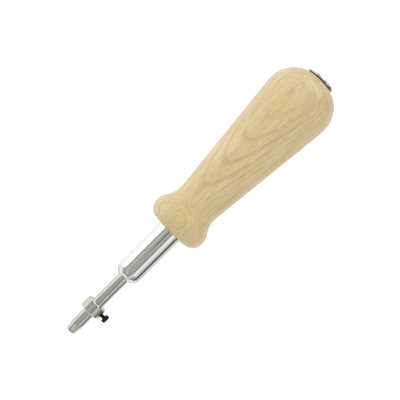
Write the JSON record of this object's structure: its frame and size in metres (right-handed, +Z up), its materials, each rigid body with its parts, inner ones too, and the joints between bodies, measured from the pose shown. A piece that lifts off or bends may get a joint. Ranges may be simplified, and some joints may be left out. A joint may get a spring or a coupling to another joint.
{
  "type": "hand-held rod mandrel",
  "caption": "Hand mandrel with a turned wooden handle, a chromed shank with a rounded nose, a plain rod with a tapered tip, and a sliding stop ring held by a small clamp screw.",
  "frame": {"origin": "on the surface the tool lies on, under the middle of its bounding box", "axes": "+Z up; +X along the tool from the handle's butt to the rod's tip, whose axis dips 2.12 degrees below +X because the tool rests on its belly and its narrower front flange; the clamp screw points along +Y"},
  "size_m": [0.1662, 0.0354, 0.0355],
  "materials": {
    "ash_wood": "pale straight-grained ash under a satin clear lacquer",
    "chrome": "bright polished chrome plate",
    "nickel": "polished nickel plate, a little warmer and duller than chrome",
    "black_oxide": "satin black oxide on steel",
    "brass": "turned brass",
    "dark_fibre": "thin dark brown vulcanised fibre"
  },
  "bodies": {
    "handle_group": {"wood_handle": "ash_wood", "shank": "chrome", "mandrel_rod": "nickel", "handle_bolt": "nickel", "butt_washer": "dark_fibre"},
    "stop_ring": {"stop_collar": "nickel"},
    "pad_carriage": {"thrust_pad": "brass"},
    "ring_screw": {"clamp_screw": "black_oxide"}
  },
  "joints": [
    {"name": "stop_slide", "type": "slide", "parent": "handle_group", "child": "stop_ring", "axis": [0.9993, 0, -0.037], "range_m": [-0.0163, 0.0081]},
    {"name": "screw_travel", "type": "slide", "parent": "stop_ring", "child": "pad_carriage", "axis": [0, 1, 0], "range_m": [0, 0.0006]},
    {"name": "screw_turn", "type": "hinge", "parent": "pad_carriage", "child": "ring_screw", "pos_m": [0.06759, 0.0052, 0.01281], "axis": [0, 1, 0], "range_deg": [0, 541]}
  ],
  "couplings": [
    {"joint": "screw_turn", "follows": "screw_travel", "rad_per_m": 15708}
  ]
}
